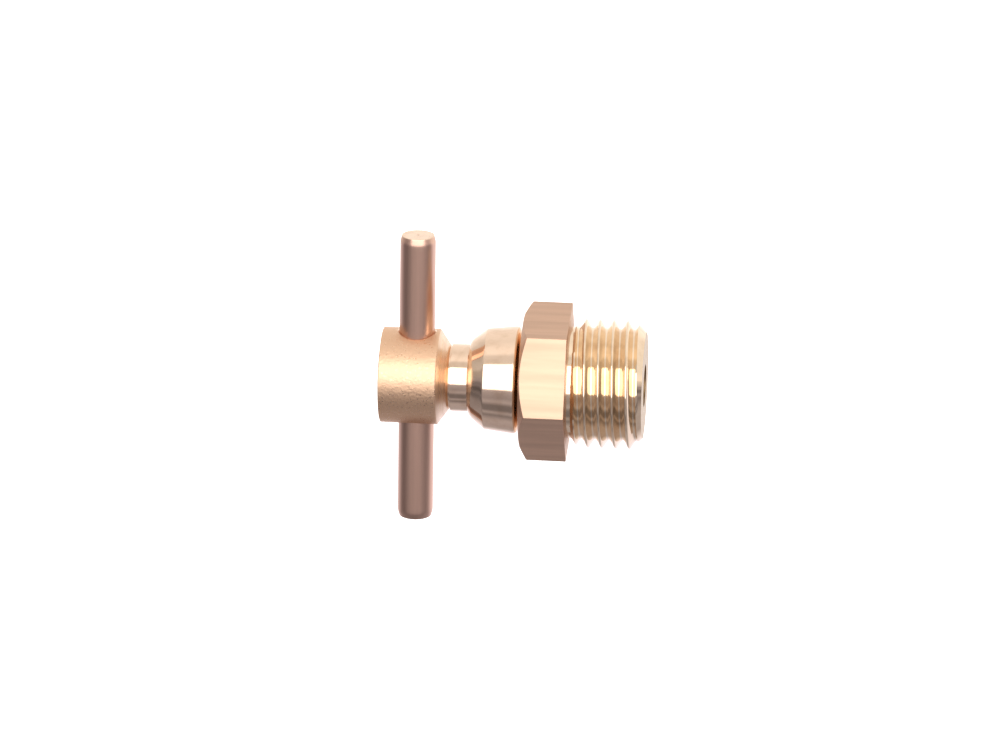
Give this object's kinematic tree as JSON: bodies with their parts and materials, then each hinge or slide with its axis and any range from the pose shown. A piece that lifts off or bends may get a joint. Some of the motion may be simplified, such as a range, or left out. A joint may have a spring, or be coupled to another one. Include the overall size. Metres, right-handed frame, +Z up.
{
  "type": "drain plug",
  "caption": "Small brass screw-down drain plug: hexagon body with a male port thread, a coned plug stem with a collar and neck, and a cross bar through the stem's head.",
  "frame": {"origin": "on the plug's axis, in the plane of the hexagon's sealing shoulder, where the port thread begins", "axes": "+X along the axis towards the tip of the port thread, +Z up from the surface that the plug lies on, +Y along the cross bar's raised half"},
  "size_m": [0.0289, 0.0312, 0.015],
  "materials": {
    "body_brass": "drawn hexagon bar, turned at both ends, thread cut and left bright",
    "stem_brass": "turned bright, with fine tool marks round the collar and a duller head",
    "bar_brass": "drawn rod with a slightly browned skin, ends faced and chamfered"
  },
  "bodies": {
    "body": {"hex_body": "body_brass"},
    "handle": {"stem": "stem_brass", "tee_bar": "bar_brass"}
  },
  "joints": [
    {"name": "stem_turn", "type": "hinge", "parent": "body", "child": "handle", "pos_m": [0, 0, 0], "axis": [-1, 0, 0], "range_deg": [0, 810]}
  ]
}
